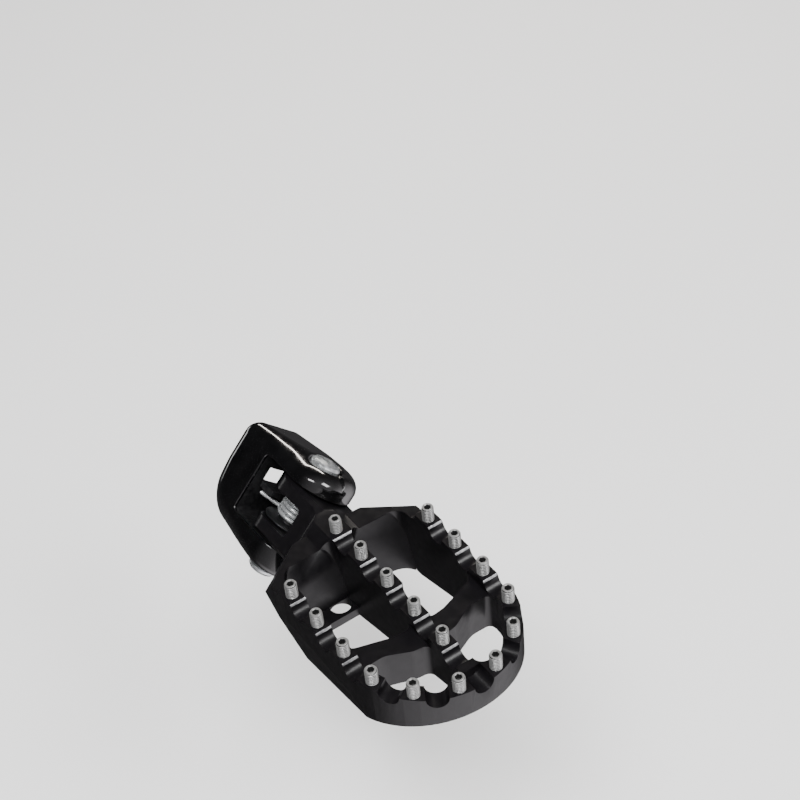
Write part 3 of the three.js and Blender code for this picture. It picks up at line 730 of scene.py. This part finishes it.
def add_pin(zinc):
    """The hinge pin, with a domed head below the clevis."""
    low, high, top = -25.0, -22.5, 17.0
    radius, head_radius = 4.0, 5.1
    add_turned("pivot_pin", [
        (0, low + 0.35, 0), (2.2, low + 0.1, 0.5), (4.1, low + 0.7, 1.2), (head_radius, low + 1.7, 0.9),
        (head_radius, high, 0.15), (radius, high, 0.1), (radius, top - 0.4, 0.3), (3.6, top, 0.2),
        (0, top, 0)], zinc)


def add_washer(zinc):
    """The washer under the pin's head."""
    low, high, bore, rim = -21.9, -20.8, 4.2, 5.6
    add_turned("pin_washer", [
        (bore, high, 0), (bore, low, 0.12), (rim, low, 0.25), (rim, high, 0.25),
        (bore + 0.1, high, 0)], zinc, steps=4, closed=True)


def add_cap(zinc):
    """The pale domed cap in the upper ear, with a short stem."""
    stem, stem_low, base = 2.3, 10.6, 17.6
    rim, face = 5.4, 20.5
    add_turned("pivot_cap", [
        (0, stem_low, 0), (stem, stem_low, 0.2), (stem, base, 0.1), (rim, base, 0.2),
        (rim, face - 0.9, 0.4), (4.6, face - 0.1, 0.8), (2.4, face + 0.55, 2.2),
        (0, face + 0.7, 0)], zinc, sides=96)


def add_sleeve(nylon):
    """The sleeve inside the coil, with a flange at its lower end."""
    bore, wall, flange, half, flange_top = 4.1, 4.5, 9.4, 5.1, -4.28
    add_turned("spring_sleeve", [
        (bore, half, 0), (bore, -half, 0.2), (flange, -half, 0.42), (flange, flange_top, 0.4),
        (wall, flange_top, 0.3), (wall, half, 0.15), (bore + 0.05, half, 0)], nylon,
        steps=5, closed=True)


# -------------------------------------------------------------------- spring

WIRE_RADIUS = 0.77
COIL_RADIUS, COIL_PITCH = 5.5, 1.76
COIL_START, COIL_LEG_ANGLE = -3.15, 0.76
COIL_TURNS = 4 + COIL_LEG_ANGLE / (2 * math.pi)
COIL_END = COIL_START + COIL_PITCH * COIL_TURNS
POINTS_PER_TURN = 16
FORK_LEG = 13.6


def spring_route():
    """Leg on the clevis, coil round the pin, leg in the floor of the fork."""
    route = [(-14.6, -2.5, 4.9), (-11.8, -2.7, 2.6), (-8.7, -3.0, 0.1), (-6.2, -3.1, -1.95)]
    steps = round(POINTS_PER_TURN * COIL_TURNS)
    for i in range(steps + 1):
        angle = math.pi + COIL_LEG_ANGLE - 2 * math.pi * COIL_TURNS * i / steps
        along = COIL_START + (COIL_END - COIL_START) * i / steps
        route.append((COIL_RADIUS * math.sin(angle), along, COIL_RADIUS * math.cos(angle)))
    route += [(FORK_LEG * t, COIL_END, -COIL_RADIUS) for t in (0.33, 0.66, 1)]
    return np.array(route)


def smooth_path(points, per_span):
    """Catmull-Rom curve through the points."""
    padded = np.vstack([2 * points[0] - points[1], points, 2 * points[-1] - points[-2]])
    path = []
    for a, b, c, d in zip(padded, padded[1:], padded[2:], padded[3:]):
        square, cube = 2 * a - 5 * b + 4 * c - d, 3 * b - a - 3 * c + d
        for t in np.arange(per_span) / per_span:
            path.append(0.5 * (2 * b + (c - a) * t + square * t ** 2 + cube * t ** 3))
    path.append(points[-1])
    return np.array(path)


def tube(path, radius, sides=18):
    """Points and faces of a round wire. The rings at its ends are a little smaller."""
    tangents = np.gradient(path, axis=0)
    tangents /= np.linalg.norm(tangents, axis=1)[:, None]
    normal = np.cross(tangents[0], (0, 1, 0))
    points, rings = [], []
    last = len(path) - 1
    for i, (place, along) in enumerate(zip(path, tangents)):
        normal = normal - along * normal.dot(along)
        normal /= np.linalg.norm(normal)
        side = np.cross(along, normal)
        shrink = 0.8 if i in (0, last) else 1
        rings.append(list(range(len(points), len(points) + sides)))
        for k in range(sides):
            angle = 2 * math.pi * k / sides
            outward = normal * math.cos(angle) + side * math.sin(angle)
            points.append(place + radius * shrink * outward)
    faces = [face for a, b in zip(rings, rings[1:]) for face in bridge(a, b)]
    faces += [rings[0][::-1], rings[-1]]
    return [p.tolist() for p in points], faces


def add_spring(material):
    """The torsion spring, whose coil winds up as the real peg folds; here it is baked in place and rides
    on no body.
    """
    points, faces = tube(smooth_path(spring_route(), per_span=4), WIRE_RADIUS)
    piece = add_piece("return_spring_wire", points, faces, HINGE, [material], None,
                      ["return_spring"], crease=50)
    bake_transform(piece)


# --------------------------------------------------------------------- build

add_camera()
add_surroundings()
add_lights()
add_floor()
add_platform([anodised_finish(), chamfer_highlight_finish()])
add_studs(stud_finish())
add_clevis([gloss_finish(), cast_finish()])
plated = zinc_finish()
add_pin(plated)
add_washer(plated)
add_cap(plated)
add_sleeve(nylon_finish())
add_spring(wire_finish())
